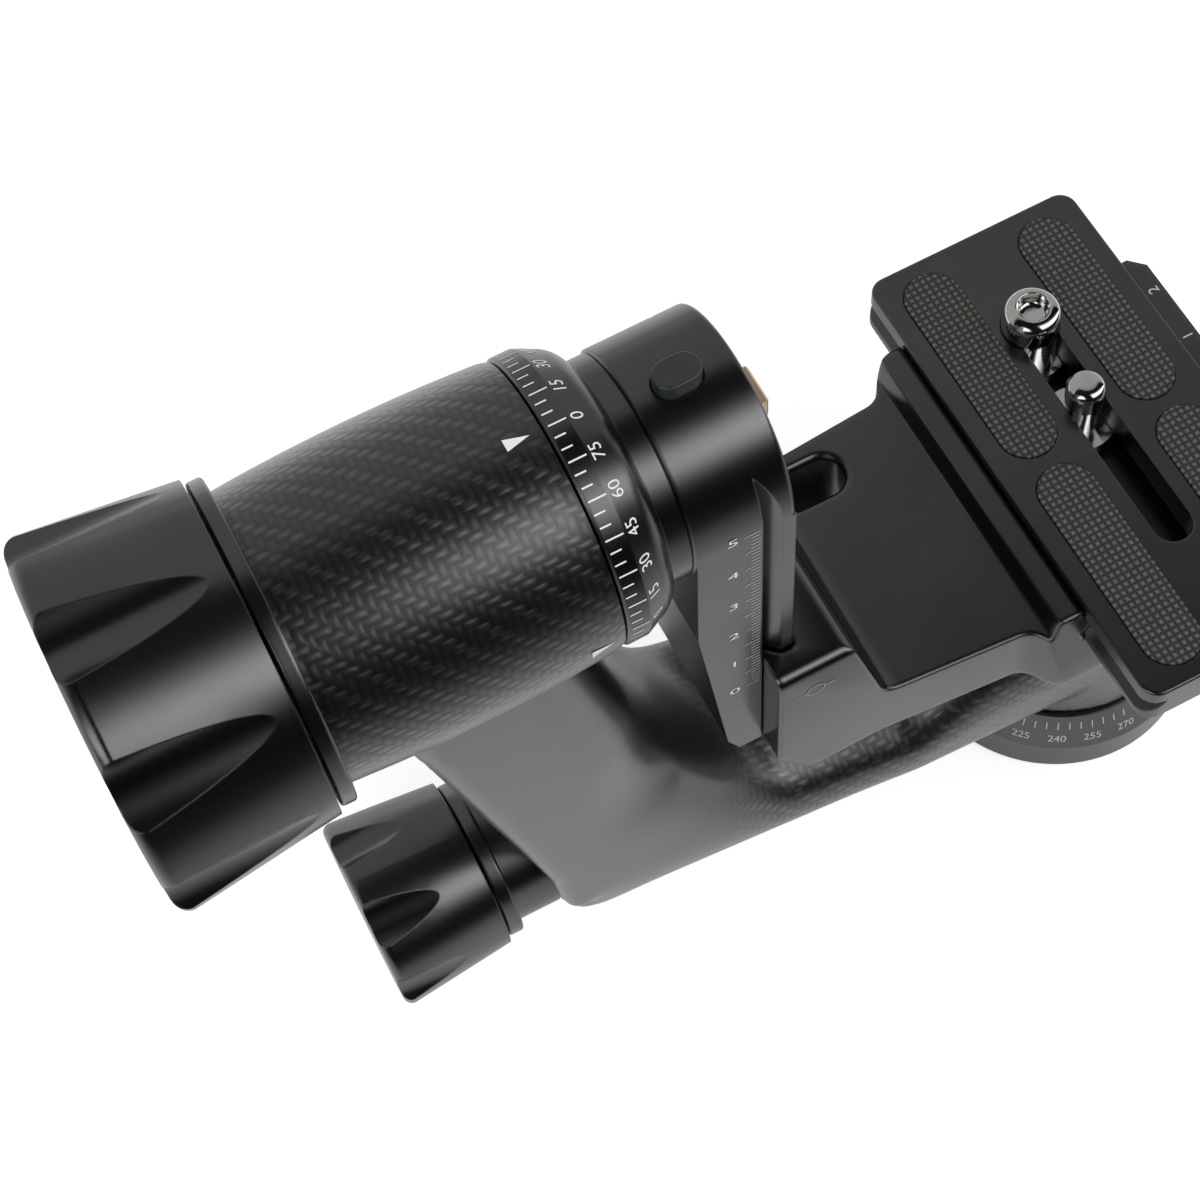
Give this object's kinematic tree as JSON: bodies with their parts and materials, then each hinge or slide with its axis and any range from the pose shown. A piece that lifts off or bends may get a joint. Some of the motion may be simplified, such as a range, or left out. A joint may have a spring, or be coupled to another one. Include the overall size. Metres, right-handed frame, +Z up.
{
  "type": "gimbal head",
  "caption": "Gimbal tripod head: L-shaped carbon arm, tilt hub with degree ring, height-adjustable bracket and quick release clamp with camera plate.",
  "frame": {"origin": "centre of the tripod socket's mouth, on the pan axis at the base's underside", "axes": "+Z up along the pan axis; X along the tilt axis, with the big lock knob on -X and the quick release clamp on +X; Y is the lens direction"},
  "size_m": [0.2049, 0.086, 0.1732],
  "materials": {
    "carbon_laminate": "satin clear coat over woven carbon fibre",
    "black_anodised": "bead-blasted, satin black anodised",
    "bare_aluminium": "machined",
    "bearing_steel": "ground",
    "zinc_steel": "bright, turned",
    "polished_steel": "polished",
    "brass": "bare, satin",
    "black_plastic": "fine grain",
    "acetal": "machined, smooth",
    "grip_rubber": "fine pyramid grid",
    "spring_steel": "wire"
  },
  "bodies": {
    "base": {"base_disc": "black_anodised", "tripod_bush": "zinc_steel", "pan_axle": "bearing_steel", "base_screws": "zinc_steel", "pan_axle_nut": "zinc_steel"},
    "arm": {"arm_shell": "carbon_laminate", "tilt_housing": "bare_aluminium", "tilt_bearing_left": "bearing_steel", "tilt_bearing_right": "bearing_steel", "drum_end_ring": "black_anodised", "pan_housing": "bare_aluminium", "pan_bearing_lower": "bearing_steel", "pan_bearing_upper": "bearing_steel", "pan_lock_tube": "black_anodised"},
    "tilt_brake": {"tilt_brake_disc": "acetal", "tilt_spring_washer": "spring_steel"},
    "tilt_knob": {"tilt_lock_knob": "black_anodised", "tilt_knob_insert": "brass", "tilt_knob_cap": "black_anodised"},
    "pan_knob": {"pan_lock_knob": "black_anodised", "pan_knob_screw": "zinc_steel", "pan_knob_cap": "black_anodised"},
    "pan_brake": {"pan_brake_rod": "zinc_steel", "pan_brake_shoe": "acetal"},
    "swing": {"swing_arm": "black_anodised", "degree_ring": "black_anodised", "tilt_shaft": "bearing_steel", "swing_bolt": "zinc_steel", "button_spring": "spring_steel"},
    "button": {"safety_button": "black_plastic"},
    "stop": {"safety_stop": "brass"},
    "bracket": {"l_bracket": "black_anodised", "height_guide_pins": "bearing_steel", "clamp_guide_pins": "bearing_steel", "clamp_springs": "spring_steel"},
    "height_jaw": {"height_jaw": "black_anodised", "height_washer": "bare_aluminium"},
    "height_knob": {"height_clamp_knob": "black_anodised", "height_screw": "zinc_steel"},
    "clamp_jaw": {"clamp_jaw": "black_anodised", "clamp_washer": "bare_aluminium"},
    "clamp_knob": {"clamp_knob": "black_anodised", "clamp_screw": "zinc_steel"},
    "plate": {"camera_plate": "black_anodised", "grip_pads": "grip_rubber", "plate_stop_pins": "zinc_steel"},
    "small_screw": {"camera_screw_small": "polished_steel"},
    "large_screw": {"camera_screw_large": "polished_steel"}
  },
  "joints": [
    {"name": "pan", "type": "hinge", "parent": "base", "child": "arm", "pos_m": [0, 0, 0.0332], "axis": [0, 0, 1], "continuous": true},
    {"name": "tilt", "type": "hinge", "parent": "arm", "child": "swing", "pos_m": [-0.08, 0, 0.146], "axis": [1, 0, 0], "continuous": true},
    {"name": "tilt_brake_slide", "type": "slide", "parent": "swing", "child": "tilt_brake", "axis": [-1, 0, 0], "range_m": [0, 0.00112]},
    {"name": "tilt_lock_turn", "type": "hinge", "parent": "tilt_brake", "child": "tilt_knob", "pos_m": [-0.15, 0, 0.146], "axis": [1, 0, 0], "range_deg": [0, 270]},
    {"name": "pan_brake_slide", "type": "slide", "parent": "arm", "child": "pan_brake", "axis": [-1, 0, 0], "range_m": [0, 0.0009375]},
    {"name": "pan_lock_turn", "type": "hinge", "parent": "pan_brake", "child": "pan_knob", "pos_m": [-0.13, 0, 0.0332], "axis": [1, 0, 0], "range_deg": [0, 270]},
    {"name": "button_press", "type": "slide", "parent": "swing", "child": "button", "axis": [0, 0, -1], "range_m": [0, 0.0015], "stiffness_N_per_m": 600, "springref_m": -0.001},
    {"name": "stop_retract", "type": "slide", "parent": "swing", "child": "stop", "axis": [-1, 0, 0], "range_m": [0, 0.0012]},
    {"name": "height", "type": "slide", "parent": "swing", "child": "bracket", "axis": [0, 0, 1], "range_m": [0, 0.05]},
    {"name": "height_jaw_slide", "type": "slide", "parent": "bracket", "child": "height_jaw", "axis": [0, 1, 0], "range_m": [0, 0.00125]},
    {"name": "height_lock_turn", "type": "hinge", "parent": "height_jaw", "child": "height_knob", "pos_m": [-0.0605, 0.03, 0.084], "axis": [0, -1, 0], "range_deg": [0, 360]},
    {"name": "clamp_jaw_slide", "type": "slide", "parent": "bracket", "child": "clamp_jaw", "axis": [1, 0, 0], "range_m": [0, 0.00375]},
    {"name": "clamp_turn", "type": "hinge", "parent": "clamp_jaw", "child": "clamp_knob", "pos_m": [0.033, 0, 0.0686], "axis": [-1, 0, 0], "range_deg": [0, 1080]},
    {"name": "plate_slide", "type": "slide", "parent": "bracket", "child": "plate", "axis": [0, 1, 0], "range_m": [-0.005, 0.008]},
    {"name": "small_screw_turn", "type": "hinge", "parent": "plate", "child": "small_screw", "pos_m": [0, 0.0054, 0.085], "axis": [0, 0, 1], "continuous": true},
    {"name": "large_screw_turn", "type": "hinge", "parent": "plate", "child": "large_screw", "pos_m": [0, 0.0216, 0.085], "axis": [0, 0, 1], "continuous": true}
  ],
  "couplings": [
    {"joint": "tilt_lock_turn", "follows": "tilt_brake_slide", "rad_per_m": 4188.8},
    {"joint": "pan_lock_turn", "follows": "pan_brake_slide", "rad_per_m": 5026.5},
    {"joint": "height_lock_turn", "follows": "height_jaw_slide", "rad_per_m": 5026.5},
    {"joint": "clamp_turn", "follows": "clamp_jaw_slide", "rad_per_m": 5026.5},
    {"joint": "stop_retract", "follows": "button_press", "ratio": 0.8}
  ]
}
